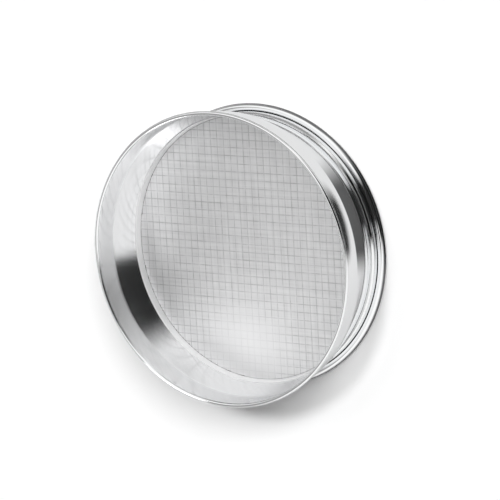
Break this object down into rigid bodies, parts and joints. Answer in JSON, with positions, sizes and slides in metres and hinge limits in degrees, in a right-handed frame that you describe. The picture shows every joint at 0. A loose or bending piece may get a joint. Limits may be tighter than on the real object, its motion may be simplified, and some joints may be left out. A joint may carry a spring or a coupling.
{
  "type": "test sieve",
  "caption": "Round laboratory test sieve: rolled-edge spun steel frame with a nesting skirt, a fine wire cloth, its retaining ring and a coarse support cloth.",
  "frame": {"origin": "on the sieve's axis, at the level of the surface that the rolled foot stands on", "axes": "+Z along the sieve's axis towards the open rim, +Y along the warp wires of the support cloth, +X along its weft wires"},
  "size_m": [0.2062, 0.2062, 0.0588],
  "materials": {
    "frame_steel": "mirror-polished stainless steel",
    "ring_steel": "polished stainless steel",
    "fine_cloth": "fine woven stainless wire, slightly see-through",
    "support_wire": "drawn stainless wire"
  },
  "bodies": {
    "root": {"frame": "frame_steel", "retaining_ring": "ring_steel", "wire_cloth": "fine_cloth", "support_cloth": "support_wire"}
  },
  "joints": []
}
